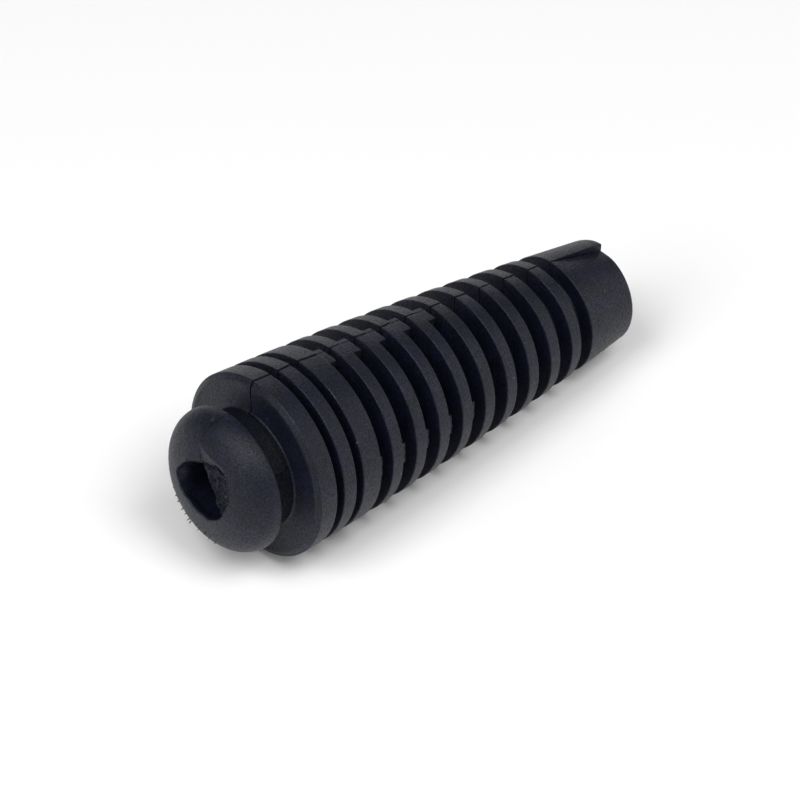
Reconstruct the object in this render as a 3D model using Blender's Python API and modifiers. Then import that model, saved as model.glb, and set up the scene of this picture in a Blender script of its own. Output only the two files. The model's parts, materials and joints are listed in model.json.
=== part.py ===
"""Slit rubber vibration sleeve: a snap head, a keyed neck, a flange, eleven ribs and a tail collar.

The sleeve is one soft moulding in life. Here it is divided at its grooves, which are the places
where it flexes, so every ring between two grooves is a solid of its own and can turn on its hinge.

Stations are measured in millimetres along the sleeve's axis from the front of the dome. In the
sleeve's own frame +Z runs from head to tail, +X points at the slit and +Y to the side of it.
"""

import math

import bmesh
import bpy
from mathutils import Matrix, Vector

MM = 0.001

# Overall outline, mm
FLANGE_RADIUS = 11.05
TAIL_RADIUS = 6.20
BARREL_BULGE = 0.57
BORE_RADIUS = 3.50
CORE_RADIUS_FRONT = 6.20
CORE_RADIUS_TAIL = 4.90

# Snap head and neck, mm and degrees
HEAD_LENGTH = 4.60
HEAD_RADIUS = 8.60
DOME_POWER = 2.26
DOME_STEPS = 9
NECK_RADIUS = 7.10
KEY_RADIUS = 7.95
KEY_LENGTH = 2.10
KEY_FROM = 3.0
KEY_TO = 63.0
KEY_ROOT = 0.40
PANEL_GROOVE = 1.15
NECK_STUB = 0.25

# Lands and grooves behind the head, mm
FLANGE_LENGTH = 2.80
FLANGE_CHAMFER_DEPTH = 0.45
FLANGE_CHAMFER_WIDTH = 0.68
NARROW_GROOVE = 1.10
SECOND_RIB_LENGTH = 1.90
THIRD_RIB_LENGTH = 2.80
THIRD_GROOVE = 1.85
RIB_LENGTH = 1.65
RIB_PITCH = 3.80
EVEN_RIBS = 9
COLLAR_GROOVE = 2.00
COLLAR_LENGTH = 7.75
COLLAR_FILLET = 0.45

# Spacer tabs behind ribs 3 to 7, mm and degrees
TABBED_RIBS = (3, 4, 5, 6, 7)
TAB_ANGLES = (0.0, 90.0, 180.0, 270.0)
TAB_SPAN = 16.0
TAB_FILL = 0.52
TAB_RECESS = 0.65
TAB_CORE_CLEARANCE = 0.25
TAB_ROOT = 0.30

# Slit, hinge gaps and the way the sleeve lies, mm and degrees
SLIT_WIDTH = 0.24
BLADE_MARGIN = 2.0
HINGE_GAP = 0.54
NECK_HINGE_GAP = 0.62
SEAT_GAP = 0.05
ROLL = 5.0
REST_RIBS = (5, 6)

SEGMENTS = 36
MERGE_DISTANCE = 0.00001
SMOOTH_ANGLE = 30.0
RUBBER = (0.030, 0.031, 0.036, 1.0)
RUBBER_ROUGHNESS = 0.52


def flange_front():
    return HEAD_LENGTH + KEY_LENGTH + PANEL_GROOVE


def sleeve_end():
    return lands()[-1]["end"]


def lands():
    """Every ring behind the neck: its name, start, end and the groove behind it."""
    rows = []
    station = flange_front()

    def add(name, length, groove):
        nonlocal station
        rows.append({"name": name, "start": station, "end": station + length, "groove": groove})
        station += length + groove

    add("flange", FLANGE_LENGTH, NARROW_GROOVE)
    add("rib_02", SECOND_RIB_LENGTH, NARROW_GROOVE)
    add("rib_03", THIRD_RIB_LENGTH, THIRD_GROOVE)
    for number in range(4, 4 + EVEN_RIBS):
        last = number == 3 + EVEN_RIBS
        add(f"rib_{number:02d}", RIB_LENGTH, COLLAR_GROOVE if last else RIB_PITCH - RIB_LENGTH)
    add("tail_collar", COLLAR_LENGTH, 0.0)
    return rows


def share_of_length(station):
    length = sleeve_end() - flange_front()
    return (station - flange_front()) / length


def envelope_radius(station):
    """Outer radius of the barrel-shaped taper that all ribs share."""
    share = share_of_length(station)
    taper = FLANGE_RADIUS + (TAIL_RADIUS - FLANGE_RADIUS) * share
    return taper + 4.0 * BARREL_BULGE * share * (1.0 - share)


def core_radius(station):
    share = share_of_length(station)
    return CORE_RADIUS_FRONT + (CORE_RADIUS_TAIL - CORE_RADIUS_FRONT) * share


def arc(centre_radius, centre_station, radius, start, end, steps):
    """Points of a fillet, as (radius, station), with angles from the outward direction."""
    points = []
    for step in range(steps + 1):
        angle = math.radians(start + (end - start) * step / steps)
        points.append((centre_radius + radius * math.cos(angle),
                       centre_station + radius * math.sin(angle)))
    return points


def head_profile():
    points = [(BORE_RADIUS, HEAD_LENGTH), (HEAD_RADIUS, HEAD_LENGTH)]
    power = 2.0 / DOME_POWER
    mouth = math.asin((BORE_RADIUS / HEAD_RADIUS) ** (1.0 / power))
    for step in range(1, DOME_STEPS + 1):
        angle = math.pi / 2 + (mouth - math.pi / 2) * step / DOME_STEPS
        radius = HEAD_RADIUS * math.sin(angle) ** power
        points.append((radius, HEAD_LENGTH * (1.0 - math.cos(angle) ** power)))
    return points


def neck_profile():
    front = HEAD_LENGTH + SEAT_GAP
    back = flange_front() - NECK_STUB - NECK_HINGE_GAP
    return [(BORE_RADIUS, back), (NECK_RADIUS, back), (NECK_RADIUS, front), (BORE_RADIUS, front)]


def land_outline(row):
    """Outer surface of a ring from its back edge to its front edge."""
    start, end = row["start"], row["end"]
    if row["name"] == "flange":
        rim = start + FLANGE_CHAMFER_DEPTH
        return [(envelope_radius(end), end), (envelope_radius(rim), rim),
                (envelope_radius(rim) - FLANGE_CHAMFER_WIDTH, start)]
    if row["name"] == "tail_collar":
        back = arc(envelope_radius(end - COLLAR_FILLET) - COLLAR_FILLET, end - COLLAR_FILLET,
                   COLLAR_FILLET, 90.0, 0.0, 3)
        return back + [(envelope_radius(start), start)]
    return [(envelope_radius(end), end), (envelope_radius(start), start)]


def ring_profile(row, groove_before):
    """Closed outline of one ring with the stubs that reach into the grooves beside it."""
    start, end = row["start"], row["end"]
    points = []
    if row["groove"]:
        stub_back = end + (row["groove"] - HINGE_GAP) / 2.0
        points += [(BORE_RADIUS, stub_back), (core_radius(stub_back), stub_back),
                   (core_radius(end), end)]
    else:
        points += [(BORE_RADIUS, end)]
    points += land_outline(row)
    if groove_before:
        stub_front = start - (groove_before - HINGE_GAP) / 2.0
        points += [(core_radius(start), start), (core_radius(stub_front), stub_front),
                   (BORE_RADIUS, stub_front)]
    else:
        stub_front = start - NECK_STUB
        points += [(NECK_RADIUS, start), (NECK_RADIUS, stub_front), (BORE_RADIUS, stub_front)]
    return points


def collection(name):
    group = bpy.data.collections.new(name)
    bpy.context.scene.collection.children.link(group)
    return group


def rubber(name):
    material = bpy.data.materials.new(f"{name}_rubber")
    material.use_nodes = True
    shader = material.node_tree.nodes["Principled BSDF"]
    shader.inputs["Base Color"].default_value = RUBBER
    shader.inputs["Roughness"].default_value = RUBBER_ROUGHNESS
    shader.inputs["Metallic"].default_value = 0.0
    material.diffuse_color = RUBBER
    return material


def turned_ring(name, profile, origin, group):
    """A ring turned about +Z from a closed outline, with its origin at a station on the axis."""
    mesh = bpy.data.meshes.new(name)
    points = [(radius * MM, 0.0, (station - origin) * MM) for radius, station in profile]
    count = len(points)
    mesh.from_pydata(points, [(i, (i + 1) % count) for i in range(count)], [])
    obj = bpy.data.objects.new(name, mesh)
    group.objects.link(obj)
    obj.location = (0.0, 0.0, origin * MM)
    screw = obj.modifiers.new("Turn", "SCREW")
    screw.axis = "Z"
    screw.angle = math.tau
    screw.steps = screw.render_steps = SEGMENTS
    screw.use_merge_vertices = True
    screw.merge_threshold = MERGE_DISTANCE
    screw.use_smooth_shade = True
    mesh.materials.append(rubber(name))
    return obj


def as_tool(obj, group):
    """Marks an object as a helper that shapes others and is no piece itself."""
    group.objects.link(obj)
    obj.display_type = "WIRE"
    obj.hide_render = True
    return obj


def wedge(bm, inner, outer, front, back, start, end, steps):
    """Adds a solid block that is bounded by two radii, two stations and two angles."""
    corners = [(inner, front), (outer, front), (outer, back), (inner, back)]
    turn = Matrix.Rotation(math.radians(start), 4, "Z")
    verts = [bm.verts.new(turn @ Vector((r * MM, 0.0, z * MM))) for r, z in corners]
    face = bm.faces.new(verts)
    bmesh.ops.spin(bm, geom=[face] + list(face.edges) + verts, cent=(0, 0, 0), axis=(0, 0, 1),
                   angle=math.radians(end - start), steps=steps)
    bmesh.ops.recalc_face_normals(bm, faces=bm.faces)


def wedge_tool(name, blocks, group):
    bm = bmesh.new()
    for block in blocks:
        wedge(bm, *block)
    mesh = bpy.data.meshes.new(name)
    bm.to_mesh(mesh)
    bm.free()
    return as_tool(bpy.data.objects.new(name, mesh), group)


def slit_tool(group):
    """A thin blade that opens every ring from the bore out, on the +X side."""
    bm = bmesh.new()
    reach = FLANGE_RADIUS + BLADE_MARGIN
    inner = BORE_RADIUS - BLADE_MARGIN
    length = sleeve_end() + 2.0 * BLADE_MARGIN
    size = Matrix.Diagonal(((reach - inner) * MM, SLIT_WIDTH * MM, length * MM, 1.0))
    place = Matrix.Translation(((reach + inner) / 2 * MM, 0.0, sleeve_end() / 2 * MM))
    bmesh.ops.create_cube(bm, size=1.0, matrix=place @ size)
    mesh = bpy.data.meshes.new("slit_blade")
    bm.to_mesh(mesh)
    bm.free()
    return as_tool(bpy.data.objects.new("slit_blade", mesh), group)


def boolean(obj, tool, operation):
    modifier = obj.modifiers.new(f"{operation.title()} {tool.name}", "BOOLEAN")
    modifier.operation = operation
    modifier.solver = "EXACT"
    modifier.object = tool


def tab_tool(row, group):
    """Spacer tabs that stand on the back face of a rib and half fill the groove behind it."""
    back = row["end"] + TAB_FILL * row["groove"]
    outer = envelope_radius(row["end"]) - TAB_RECESS
    inner = core_radius(row["end"]) + TAB_CORE_CLEARANCE
    front = row["end"] - TAB_ROOT
    half = TAB_SPAN / 2.0
    blocks = [(inner, outer, front, back, angle - half, angle + half, 2) for angle in TAB_ANGLES]
    return wedge_tool(f"{row['name']}_tabs", blocks, group)


def key_tool(group):
    """Two raised keys on the neck, opposite each other, that stop it turning in a panel."""
    front = HEAD_LENGTH + 2.0 * SEAT_GAP
    back = HEAD_LENGTH + KEY_LENGTH
    inner = NECK_RADIUS - KEY_ROOT
    blocks = [(inner, KEY_RADIUS, front, back, KEY_FROM + turn, KEY_TO + turn, 6)
              for turn in (0.0, 180.0)]
    return wedge_tool("neck_keys", blocks, group)


def build_pieces(pieces, tools):
    """All rings, each with its origin on the hinge in front of it."""
    neck_hinge = flange_front() - NECK_STUB - NECK_HINGE_GAP / 2.0
    rings = []
    rings.append(turned_ring("snap_head", head_profile(), neck_hinge, pieces))
    neck = turned_ring("neck", neck_profile(), neck_hinge, pieces)
    boolean(neck, key_tool(tools), "UNION")
    rings.append(neck)
    groove = 0.0
    for row in lands():
        origin = row["start"] - groove / 2.0
        ring = turned_ring(row["name"], ring_profile(row, groove), origin, pieces)
        if row["name"] in [f"rib_{number:02d}" for number in TABBED_RIBS]:
            boolean(ring, tab_tool(row, tools), "UNION")
        rings.append(ring)
        groove = row["groove"]
    blade = slit_tool(tools)
    for ring in rings:
        boolean(ring, blade, "DIFFERENCE")
    return rings


def rest_tilt():
    """Angle between the axis and the floor when the sleeve rests on the two ribs of REST_RIBS."""
    rows = {row["name"]: row for row in lands()}
    first = rows[f"rib_{REST_RIBS[0]:02d}"]["end"]
    second = rows[f"rib_{REST_RIBS[1]:02d}"]["start"]
    flat = math.cos(math.pi / SEGMENTS)
    return math.atan2((envelope_radius(first) - envelope_radius(second)) * flat, second - first)


def lying_frame():
    """Turns head-to-tail (+Z) to +X, slightly downhill, and the slit (+X) to the top."""
    tilt = rest_tilt()
    tail = Vector((math.cos(tilt), 0.0, -math.sin(tilt)))
    side = Vector((0.0, -1.0, 0.0))
    up = side.cross(tail)
    slit = Matrix.Rotation(math.radians(-ROLL), 3, tail) @ up
    side = tail.cross(slit)
    return Matrix((slit, side, tail)).transposed().to_4x4()


def settle(pieces, axis):
    """Applies the shaping, then puts the middle of the base of the whole sleeve on the origin."""
    bpy.context.view_layer.update()
    corners = []
    graph = bpy.context.evaluated_depsgraph_get()
    baked = [(obj, bpy.data.meshes.new_from_object(obj.evaluated_get(graph))) for obj in pieces]
    for obj, mesh in baked:
        obj.modifiers.clear()
        obj.data = mesh
        mesh.name = obj.name
        mesh.shade_smooth()
        mesh.set_sharp_from_angle(angle=math.radians(SMOOTH_ANGLE))
        corners += [obj.matrix_world @ vertex.co for vertex in mesh.vertices]
    low = Vector([min(point[i] for point in corners) for i in range(3)])
    high = Vector([max(point[i] for point in corners) for i in range(3)])
    shift = Vector(((low.x + high.x) / 2, (low.y + high.y) / 2, low.z))
    axis.matrix_world = Matrix.Translation(-shift) @ axis.matrix_world


def main():
    for obj in list(bpy.data.objects):
        bpy.data.objects.remove(obj, do_unlink=True)
    pieces = collection("vibration_sleeve")
    tools = collection("shaping_tools")
    axis = bpy.data.objects.new("sleeve_axis", None)
    pieces.objects.link(axis)
    rings = build_pieces(pieces, tools)
    for obj in rings + list(tools.objects):
        obj.parent = axis
    axis.matrix_world = lying_frame()
    settle(rings, axis)


main()
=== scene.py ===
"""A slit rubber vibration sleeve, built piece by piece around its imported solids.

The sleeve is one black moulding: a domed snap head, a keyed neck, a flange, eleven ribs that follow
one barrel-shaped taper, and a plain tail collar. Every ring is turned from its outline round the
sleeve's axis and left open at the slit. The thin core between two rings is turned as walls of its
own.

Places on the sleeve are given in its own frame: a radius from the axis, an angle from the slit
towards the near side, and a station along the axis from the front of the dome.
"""

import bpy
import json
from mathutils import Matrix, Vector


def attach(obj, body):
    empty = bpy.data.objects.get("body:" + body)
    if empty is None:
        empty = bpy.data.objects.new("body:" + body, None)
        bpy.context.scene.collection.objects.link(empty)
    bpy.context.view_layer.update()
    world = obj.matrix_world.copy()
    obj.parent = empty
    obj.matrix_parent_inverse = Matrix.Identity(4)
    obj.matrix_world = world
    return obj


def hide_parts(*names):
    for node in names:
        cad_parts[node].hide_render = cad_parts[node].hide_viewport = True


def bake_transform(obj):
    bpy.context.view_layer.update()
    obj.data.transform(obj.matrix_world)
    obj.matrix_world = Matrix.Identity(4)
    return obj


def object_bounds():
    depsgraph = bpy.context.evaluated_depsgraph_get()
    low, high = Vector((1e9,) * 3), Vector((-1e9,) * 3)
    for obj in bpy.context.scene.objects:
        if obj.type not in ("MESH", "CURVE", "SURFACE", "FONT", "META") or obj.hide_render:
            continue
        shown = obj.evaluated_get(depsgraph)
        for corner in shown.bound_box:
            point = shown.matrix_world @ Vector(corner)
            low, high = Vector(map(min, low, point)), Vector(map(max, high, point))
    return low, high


bl_info = {
    "name": "Slit Rubber Vibration Sleeve",
    "version": (1, 0, 0),
    "blender": (4, 5, 0),
    "location": "3D View > Sidebar > Sleeve",
    "description": "Builds a ribbed, slit rubber sleeve around its packed solids",
    "category": "Object",
}

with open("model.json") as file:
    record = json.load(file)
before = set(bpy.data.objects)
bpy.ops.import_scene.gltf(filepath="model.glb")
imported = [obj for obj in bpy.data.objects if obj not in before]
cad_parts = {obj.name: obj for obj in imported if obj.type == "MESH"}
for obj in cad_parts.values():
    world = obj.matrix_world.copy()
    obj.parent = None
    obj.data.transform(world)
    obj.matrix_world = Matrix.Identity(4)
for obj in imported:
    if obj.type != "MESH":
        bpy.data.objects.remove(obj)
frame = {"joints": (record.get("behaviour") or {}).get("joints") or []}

import json
import math

import bmesh
import bpy
from bpy.props import FloatProperty, FloatVectorProperty, PointerProperty
from bpy.types import Operator, Panel, PropertyGroup
from mathutils import Matrix, Vector, noise

CAD_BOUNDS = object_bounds()
MM = 0.001

RIB_NAMES = [f"rib_{number:02d}" for number in range(2, 13)]
RING_NAMES = ["flange"] + RIB_NAMES + ["tail_collar"]
TABBED_RIBS = ["rib_03", "rib_04", "rib_05", "rib_06", "rib_07"]


# ---------------------------------------------------------------- properties

def length(label, description, millimetres):
    return FloatProperty(name=label, description=description, default=millimetres * MM,
                         soft_min=0.0, subtype="DISTANCE", unit="LENGTH", precision=5)


def degrees(label, description, value):
    return FloatProperty(name=label, description=description, default=math.radians(value),
                         subtype="ANGLE", unit="ROTATION")


def linear(code):
    """An sRGB hex value as linear red, green and blue."""
    channels = [int(code[i:i + 2], 16) / 255.0 for i in (1, 3, 5)]
    return tuple(c / 12.92 if c <= 0.04045 else ((c + 0.055) / 1.055) ** 2.4 for c in channels)


def colour(label, description, code):
    return FloatVectorProperty(name=label, description=description, default=linear(code),
                               subtype="COLOR", size=3, min=0.0, max=1.0)


def power(label, description, watts):
    return FloatProperty(name=label, description=description, default=watts, min=0.0,
                         unit="POWER")


class SleeveSizes(PropertyGroup):
    bore_radius: length("Bore radius", "Radius of the hole that grips the shaft", 3.50)
    head_length: length("Head length", "From the front of the dome to its rim", 4.60)
    head_radius: length("Head radius", "Radius of the dome's rim", 8.60)
    neck_radius: length("Neck radius", "Radius of the neck behind the head", 7.10)
    key_radius: length("Key radius", "Radius of the two raised neck keys", 7.95)
    key_length: length("Key length", "Length of the neck keys along the axis", 2.10)
    panel_groove: length("Panel groove", "Gap between the keys and the flange", 1.15)
    flange_radius: length("Flange radius", "Radius of the taper at the flange", 11.05)
    tail_radius: length("Tail radius", "Radius of the taper at the tail", 6.20)
    barrel_bulge: length("Barrel bulge", "How far the middle swells beyond a cone", 0.57)
    core_front: length("Core radius, front", "Radius of the groove floor at the flange", 6.20)
    core_tail: length("Core radius, tail", "Radius of the groove floor at the tail", 4.90)
    flange_length: length("Flange length", "Length of the flange", 2.80)
    second_length: length("Second ring length", "Length of the ring behind the flange", 1.90)
    third_length: length("Third ring length", "Length of the broad third ring", 2.80)
    narrow_groove: length("Narrow groove", "The first two grooves behind the flange", 1.10)
    third_groove: length("Third groove", "The groove behind the third ring", 1.85)
    rib_length: length("Rib length", "Length of each even rib", 1.65)
    rib_pitch: length("Rib pitch", "Distance between the even ribs", 3.80)
    collar_groove: length("Collar groove", "The groove in front of the collar", 2.00)
    collar_length: length("Collar length", "Length of the plain tail collar", 7.75)
    chamfer_depth: length("Chamfer depth", "How far the flange's front edge falls back", 0.45)
    chamfer_width: length("Chamfer width", "Radial width of that sloping edge", 0.68)
    mouth_depth: length("Mouth depth", "Depth of the flare before the plain bore", 1.50)
    collar_fillet: length("Collar rounding", "Rounding of the collar's rear edge", 0.45)
    edge_fillet: length("Edge rounding", "Rounding of the ribs' crisp edges", 0.11)
    root_fillet: length("Root rounding", "Rounding where a rib meets the core", 0.28)
    roll: degrees("Slit roll", "How far the slit lies over to the far side", 5.0)


class RubberFinish(PropertyGroup):
    rubber: colour("Rubber", "Colour of the moulded rubber", "#070917")
    rubber_dark: colour("Rubber, darker", "The darker mottling in it", "#04060E")
    # Paler rubber for the flash and the rubbed edges; the paleness is partly painted highlight for
    # the bright lines that the rings' front edges catch.
    rubbed_and_highlit: colour("Rubbed edge", "Paler rubber on rubbed edges and flash", "#262830")
    torn: colour("Torn rubber", "Pale rough rubber where the web is torn", "#1B1D22")
    dust: colour("Dust", "Specks of pale dust on the skin", "#5A5B60")
    grain: length("Grain size", "Size of the mould's fine grain", 0.21)
    grain_depth: length("Grain depth", "Depth of the mould's fine grain", 0.060)
    gloss: FloatProperty(name="Gloss", description="Strength of the skin's mirror reflection",
                         default=0.27, min=0.0, max=1.0)
    roughness: FloatProperty(name="Roughness", description="Roughness of the satin skin",
                             default=0.46, min=0.0, max=1.0)


class StageLook(PropertyGroup):
    floor: colour("Floor", "Colour of the plain floor", "#FBFBFB")
    room: FloatProperty(name="Room light", description="Strength of the even white room light",
                        default=0.16, min=0.0)
    right_key: power("Right key", "The large soft light high at the front right", 3.05)
    left_key: power("Left key", "The large soft light high at the front left", 2.46)
    front: power("Front light", "The soft light high above the camera", 0.53)
    left_fill: power("Left fill", "The low soft light at the front left", 1.60)
    back_strip: power("Back strip", "The long low panel straight behind", 0.84)
    right_strip: power("Right strip", "The long low panel at the right", 1.40)


# ---------------------------------------------------------------- the sleeve's own frame

def sizes():
    return bpy.context.scene.sleeve_sizes


def finish():
    return bpy.context.scene.rubber_finish


# Length of neck that stays with the flange, and of the neck that bends ahead of it
NECK_STUB = 0.25 * MM
NECK_HINGE_GAP = 0.62 * MM


def flange_front():
    size = sizes()
    return size.head_length + size.key_length + size.panel_groove


def neck_middle():
    """Station of the neck's hinge."""
    return flange_front() - NECK_STUB - NECK_HINGE_GAP / 2.0


def lands():
    """Every ring behind the neck, as name: (start, end, groove behind it)."""
    size = sizes()
    rows = {}
    station = flange_front()
    even = size.rib_pitch - size.rib_length
    steps = [("flange", size.flange_length, size.narrow_groove),
             ("rib_02", size.second_length, size.narrow_groove),
             ("rib_03", size.third_length, size.third_groove)]
    steps += [(name, size.rib_length, even) for name in RIB_NAMES[2:-1]]
    steps += [(RIB_NAMES[-1], size.rib_length, size.collar_groove),
              ("tail_collar", size.collar_length, 0.0)]
    for name, land, groove in steps:
        rows[name] = (station, station + land, groove)
        station += land + groove
    return rows


def share_of_length(station):
    return (station - flange_front()) / (lands()["tail_collar"][1] - flange_front())


def envelope_radius(station):
    """Outer radius of the barrel-shaped taper that all rings share."""
    size, share = sizes(), share_of_length(station)
    taper = size.flange_radius + (size.tail_radius - size.flange_radius) * share
    return taper + 4.0 * size.barrel_bulge * share * (1.0 - share)


def core_radius(station):
    size = sizes()
    return size.core_front + (size.core_tail - size.core_front) * share_of_length(station)


def hinge_point(name):
    return Vector(next(j["pos_m"] for j in frame["joints"] if j["name"] == name))


def sleeve_frame():
    """Columns point at the slit, to the near side and at the tail; the origin is the dome's front."""
    neck, last = hinge_point("neck_flex"), hinge_point("flex_12")
    tail = (last - neck).normalized()
    up = Vector((0.0, -1.0, 0.0)).cross(tail).normalized()
    slit = Matrix.Rotation(-sizes().roll, 3, tail) @ up
    side = tail.cross(slit)
    start = neck - tail * neck_middle()
    return Matrix.Translation(start) @ Matrix((slit, side, tail)).transposed().to_4x4()


def on_sleeve(radius, angle, station):
    """A point of the sleeve in the part's frame."""
    return sleeve_frame() @ Vector((radius * math.cos(angle), radius * math.sin(angle), station))


def body_of_ring(name):
    return "tail" if name == "tail_collar" else name


# ---------------------------------------------------------------- outlines

ROUNDING_STEPS = 4
FLAT_BESIDE = 1.7


def rounded(corners):
    """Closed outline from corners (radius, station, rounding), with extra points beside each
    rounding so that it shades crisply."""
    points = []
    count = len(corners)
    for index, (radius, station, rounding) in enumerate(corners):
        here = Vector((radius, station))
        before = Vector(corners[index - 1][:2]) - here
        after = Vector(corners[(index + 1) % count][:2]) - here
        if rounding <= 0.0:
            points.append(here)
            continue
        half = before.angle(after) / 2.0
        reach = rounding / math.tan(half)
        centre = here + (before.normalized() + after.normalized()).normalized() * (
            rounding / math.sin(half))
        first = here + before.normalized() * reach - centre
        last = here + after.normalized() * reach - centre
        turn = first.angle_signed(last)
        if before.length > 3.0 * reach:
            points.append(here + before.normalized() * reach * FLAT_BESIDE)
        for step in range(ROUNDING_STEPS + 1):
            spin = Matrix.Rotation(-turn * step / ROUNDING_STEPS, 2)
            points.append(centre + spin @ first)
        if after.length > 3.0 * reach:
            points.append(here + after.normalized() * reach * FLAT_BESIDE)
    return points


# A ring's hidden inner face lies this far outside the bore, and its foot sinks into the core
INNER_FACE = 0.4 * MM
FOOT_SINK = 0.02 * MM
FOOT_BEND = 0.10 * MM
FOOT_ROUNDING = 0.12 * MM
FLANGE_SHOULDER_ROUNDING = 0.5 * MM
FLANGE_RIM_ROUNDING = 0.06 * MM
# The last length of the bore belongs to the collar itself, with a short step in front of it
COLLAR_BORE = 2.0 * MM
COLLAR_BORE_STEP = 2.2 * MM
COLLAR_BORE_ROUNDING = 0.25 * MM


def ring_outline(name):
    """Outline of a ring that sits round the core, with rounded edges and roots."""
    size = sizes()
    start, end = lands()[name][:2]
    edge, root = size.edge_fillet, size.root_fillet
    inner = size.bore_radius + INNER_FACE
    front_root = size.neck_radius if name == "flange" else core_radius(start)
    corners = [(inner, start - root, 0.0),
               (front_root - FOOT_SINK, start - root, 0.0),
               (front_root + FOOT_BEND, start - FOOT_BEND, FOOT_ROUNDING),
               (front_root + root, start, 0.0)]
    if name == "flange":
        rim = start + size.chamfer_depth
        corners += [(envelope_radius(rim) - size.chamfer_width, start, FLANGE_SHOULDER_ROUNDING),
                    (envelope_radius(rim), rim, FLANGE_RIM_ROUNDING)]
    else:
        corners.append((envelope_radius(start), start, edge))
    if name == "tail_collar":
        corners += [(envelope_radius(end), end, size.collar_fillet),
                    (size.bore_radius, end, COLLAR_BORE_ROUNDING),
                    (size.bore_radius, end - COLLAR_BORE, 0.0),
                    (inner, end - COLLAR_BORE_STEP, 0.0)]
    else:
        back_root = core_radius(end)
        corners += [(envelope_radius(end), end, edge),
                    (back_root + root, end, 0.0),
                    (back_root + FOOT_BEND, end + FOOT_BEND, FOOT_ROUNDING),
                    (back_root - FOOT_SINK, end + root, 0.0),
                    (inner, end + root, 0.0)]
    return rounded(corners)


# The dome is a superellipse of this power
DOME_POWER = 2.26
DOME_STEPS = 60
HEAD_LIP = 0.16 * MM
BORE_STATIONS = (0.5, 0.8, 1.2, 1.8, 2.6, 3.4)
CORE_STEPS = 14


def dome_station(radius):
    """Station of the dome's surface at a radius."""
    size = sizes()
    share = min(1.0, radius / size.head_radius)
    return size.head_length * (1.0 - (1.0 - share ** DOME_POWER) ** (1.0 / DOME_POWER))


def head_outline():
    """Outline of the head: its flat back, the rounded rim, the dome and the plain bore."""
    size = sizes()
    bore, rim, lip = size.bore_radius, size.head_radius, HEAD_LIP
    points = [Vector((bore, size.head_length)),
              Vector((size.neck_radius - 0.1 * MM, size.head_length))]
    for step in range(7):
        angle = math.radians(90.0 - 15.0 * step)
        points.append(Vector((rim - lip + lip * math.cos(angle),
                              size.head_length - lip + lip * math.sin(angle))))
    mouth = math.asin((bore / rim) ** (DOME_POWER / 2.0))
    for step in range(1, DOME_STEPS):
        angle = math.pi / 2 + (mouth - math.pi / 2) * step / DOME_STEPS
        radius = rim * math.sin(angle) ** (2.0 / DOME_POWER)
        station = size.head_length * (1.0 - math.cos(angle) ** (2.0 / DOME_POWER))
        if station < size.head_length - lip * 1.4:
            points.append(Vector((radius, station)))
    front = dome_station(bore)
    for step in range(6):
        angle = math.radians(18.0 * step)
        points.append(Vector((bore + lip - lip * math.sin(angle),
                              front + lip - lip * math.cos(angle))))
    points += [Vector((bore, front + depth * MM)) for depth in BORE_STATIONS]
    return points


def core_outline(start, end, outer_start, outer_end):
    """A length of the thin core, cut into short steps so that it can bend."""
    outer = [Vector((outer_start + (outer_end - outer_start) * i / CORE_STEPS,
                     start + (end - start) * i / CORE_STEPS)) for i in range(CORE_STEPS + 1)]
    inner = [Vector((sizes().bore_radius, point.y)) for point in reversed(outer)]
    return outer + inner


# ---------------------------------------------------------------- node trees

def add(tree, kind, links=None, **settings):
    """Adds a node with its settings, and links or sets its inputs."""
    made = tree.nodes.new(kind)
    for key, value in settings.items():
        setattr(made, key, value)
    for socket, value in (links or {}).items():
        target = made.inputs[socket]
        if isinstance(value, bpy.types.NodeSocket):
            tree.links.new(value, target)
        else:
            target.default_value = value
    return made


def new_tree(name, inputs):
    """An empty Geometry Nodes tree with a geometry in and out and the named inputs."""
    tree = bpy.data.node_groups.new(name, "GeometryNodeTree")
    tree.interface.new_socket("Geometry", in_out="INPUT", socket_type="NodeSocketGeometry")
    for label, kind, value in inputs:
        socket = tree.interface.new_socket(label, in_out="INPUT",
                                           socket_type=f"NodeSocket{kind}")
        if value is not None:
            socket.default_value = value
    tree.interface.new_socket("Geometry", in_out="OUTPUT", socket_type="NodeSocketGeometry")
    return tree


# Cells per metre of the skin's long waves and of the ragged ends, how sharply the slit wanders,
# and how far the ragged ends are cut back
SKIN_WAVES = 240.0
RAGGED_TEETH = 2600.0
WANDER_SHARPNESS = 2500.0
CUT_BACK = 0.75


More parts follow.
